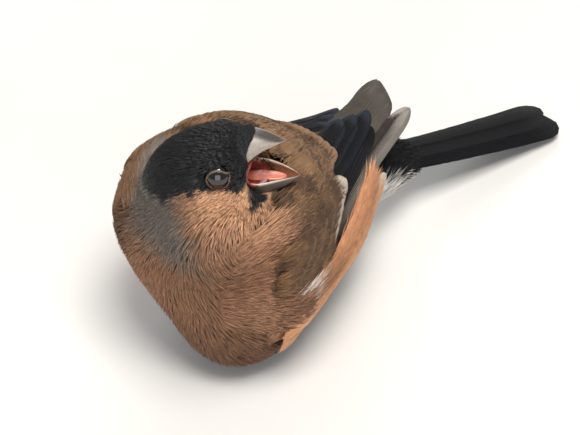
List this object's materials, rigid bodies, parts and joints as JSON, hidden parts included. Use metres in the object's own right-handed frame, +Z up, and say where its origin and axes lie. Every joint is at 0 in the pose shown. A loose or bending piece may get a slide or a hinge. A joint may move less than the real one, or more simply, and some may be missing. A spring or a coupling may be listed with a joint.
{
  "type": "bullfinch",
  "caption": "Still life-size figure of a small thick-billed songbird, crouched on the ground with its head turned back over the shoulder and the bill open, to be set out for display.",
  "frame": {"origin": "on the ground under the middle of the bounding box", "axes": "+X from the breast towards the tail, +Y towards the bird's right side, +Z up"},
  "size_m": [0.1266, 0.0532, 0.066],
  "materials": {
    "cap_plumage": "short glossy black feathers",
    "black_plumage": "glossy blue-black vanes",
    "white_plumage": "soft white feathers",
    "flight_plumage": "blackish vanes with paler brown edges",
    "back_plumage": "soft brown feathers",
    "breast_plumage": "soft pinkish brown feathers",
    "bill": "smooth dark horn",
    "mouth_lining": "moist red skin",
    "tongue": "moist pink skin",
    "eye": "wet dark brown",
    "scaled_skin": "small scales",
    "claw": "smooth dark horn"
  },
  "bodies": {
    "root": {"leg_left": "scaled_skin", "claw_left_inner": "claw", "claw_left_middle": "claw", "claw_left_outer": "claw", "claw_left_hind": "claw", "leg_right": "scaled_skin", "claw_right_inner": "claw", "claw_right_middle": "claw", "claw_right_outer": "claw", "claw_right_hind": "claw", "tail": "black_plumage", "torso": "breast_plumage", "rump": "white_plumage", "neck": "breast_plumage", "uppertail_coverts": "black_plumage", "undertail_coverts": "white_plumage", "mouth": "mouth_lining", "tongue": "tongue", "bill_upper": "bill", "bill_lower": "bill", "eye_left": "eye", "eye_right": "eye", "crown": "cap_plumage", "cheeks": "breast_plumage", "wing_left_flight": "flight_plumage", "wing_left_coverts": "back_plumage", "flank_left": "breast_plumage", "wing_right_flight": "flight_plumage", "wing_right_coverts": "back_plumage", "flank_right": "breast_plumage", "mantle": "back_plumage"}
  },
  "joints": []
}
